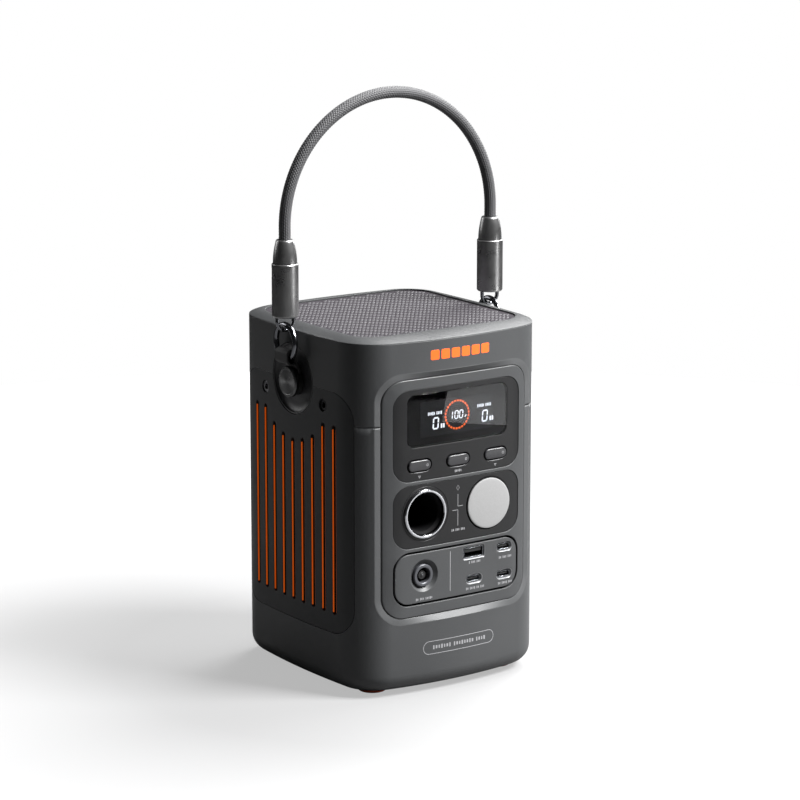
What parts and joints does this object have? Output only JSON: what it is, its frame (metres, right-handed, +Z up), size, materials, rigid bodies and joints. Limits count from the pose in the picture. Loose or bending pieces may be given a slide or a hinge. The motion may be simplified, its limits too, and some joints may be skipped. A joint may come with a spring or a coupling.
{
  "type": "portable power station",
  "caption": "Tall rounded battery power station with a front display, 12 V socket, lamp and USB ports, slotted sides and a braided cable carrying handle.",
  "frame": {"origin": "on the ground under the middle of the case", "axes": "+X to the right seen from the front, front face towards -Y, +Z up"},
  "size_m": [0.1554, 0.1382, 0.3316],
  "materials": {
    "case_plastic": "fine-grained matte charcoal",
    "rim_plastic": "fine-grained matte charcoal, slightly lighter",
    "side_plastic": "fine-grained matte near-black",
    "dark_plastic": "matte black",
    "button_plastic": "smooth satin grey",
    "top_mat": "embossed with rows of short dashes",
    "orange_rubber": "matte",
    "orange_plastic": "satin",
    "dust_screen": "fine black mesh",
    "screw_steel": "dark zinc",
    "black_metal": "radially brushed black with a polished edge",
    "strap_rubber": "smooth matte",
    "dark_chrome": "polished black nickel",
    "bright_chrome": "polished",
    "gunmetal": "satin gunmetal anodised",
    "braid": "woven braid",
    "display_glass": "glossy tinted",
    "lcd": "dark with light segments",
    "circuit_board": "green solder mask",
    "switch_metal": "stamped",
    "contact_brass": "nickel-flashed",
    "lamp_lens": "frosted white",
    "reflector": "white",
    "jack_metal": "satin",
    "port_metal": "plated",
    "heat_sink": "extruded",
    "power_parts": "wound and sleeved parts",
    "cell_can": "shrink-wrapped",
    "strap_nickel": "plated strip"
  },
  "bodies": {
    "case": {"lower_shell": "case_plastic", "upper_shell": "case_plastic", "top_rim": "rim_plastic", "top_mat": "top_mat", "feet": "orange_rubber", "base_screws": "screw_steel", "left_side_panel": "side_plastic", "right_side_panel": "side_plastic", "left_vent_liner": "orange_plastic", "right_vent_liner": "orange_plastic", "dust_screens": "dust_screen", "side_screws": "screw_steel", "lug_cups": "side_plastic", "left_lug_button": "black_metal", "right_lug_button": "black_metal", "front_plate": "case_plastic", "display_inset": "dark_plastic", "display_glass": "display_glass", "lcd_module": "lcd", "display_board": "circuit_board", "socket_inset": "dark_plastic", "port_panel": "case_plastic", "button_switches": "switch_metal", "socket_ring": "bright_chrome", "socket_barrel": "dark_plastic", "socket_contact": "contact_brass", "lamp_lens": "lamp_lens", "lamp_reflector": "reflector", "lamp_board": "circuit_board", "dc_jack_ring": "jack_metal", "dc_jack_body": "dark_plastic", "dc_jack_pin": "contact_brass", "usb_a_shell": "port_metal", "usb_a_tongue": "dark_plastic", "usb_c_shells": "port_metal", "usb_c_tongues": "dark_plastic", "port_board": "circuit_board", "main_board": "circuit_board", "heat_sink": "heat_sink", "power_parts": "power_parts", "battery_cells": "cell_can", "cell_holders": "dark_plastic", "bus_straps": "strap_nickel", "bms_board": "circuit_board"},
    "left_link": {"left_strap": "strap_rubber", "left_ring": "dark_chrome"},
    "right_link": {"right_strap": "strap_rubber", "right_ring": "dark_chrome"},
    "handle": {"left_shackle": "dark_chrome", "right_shackle": "dark_chrome", "left_sleeve": "gunmetal", "right_sleeve": "gunmetal", "left_ferrule": "gunmetal", "right_ferrule": "gunmetal", "bayonet_pins": "dark_chrome", "handle_cable": "braid"},
    "left_button": {"button_left": "button_plastic"},
    "power_button": {"button_power": "button_plastic"},
    "right_button": {"button_right": "button_plastic"}
  },
  "joints": [
    {"name": "left_link_swing", "type": "hinge", "parent": "case", "child": "left_link", "pos_m": [-0.0646, 0, 0.1715], "axis": [1, 0, 0], "range_deg": [-10, 10]},
    {"name": "right_link_swing", "type": "hinge", "parent": "case", "child": "right_link", "pos_m": [0.0646, 0, 0.1715], "axis": [1, 0, 0], "range_deg": [-10, 10]},
    {"name": "handle_tip", "type": "hinge", "parent": "left_link", "child": "handle", "pos_m": [-0.07, 0, 0.201], "axis": [1, 0, 0], "range_deg": [-24, 24]},
    {"name": "left_button_push", "type": "slide", "parent": "case", "child": "left_button", "axis": [0, 1, 0], "range_m": [0, 0.0008], "stiffness_N_per_m": 400},
    {"name": "power_button_push", "type": "slide", "parent": "case", "child": "power_button", "axis": [0, 1, 0], "range_m": [0, 0.0008], "stiffness_N_per_m": 400},
    {"name": "right_button_push", "type": "slide", "parent": "case", "child": "right_button", "axis": [0, 1, 0], "range_m": [0, 0.0008], "stiffness_N_per_m": 400}
  ],
  "couplings": [
    {"joint": "right_link_swing", "follows": "left_link_swing", "ratio": 1}
  ]
}
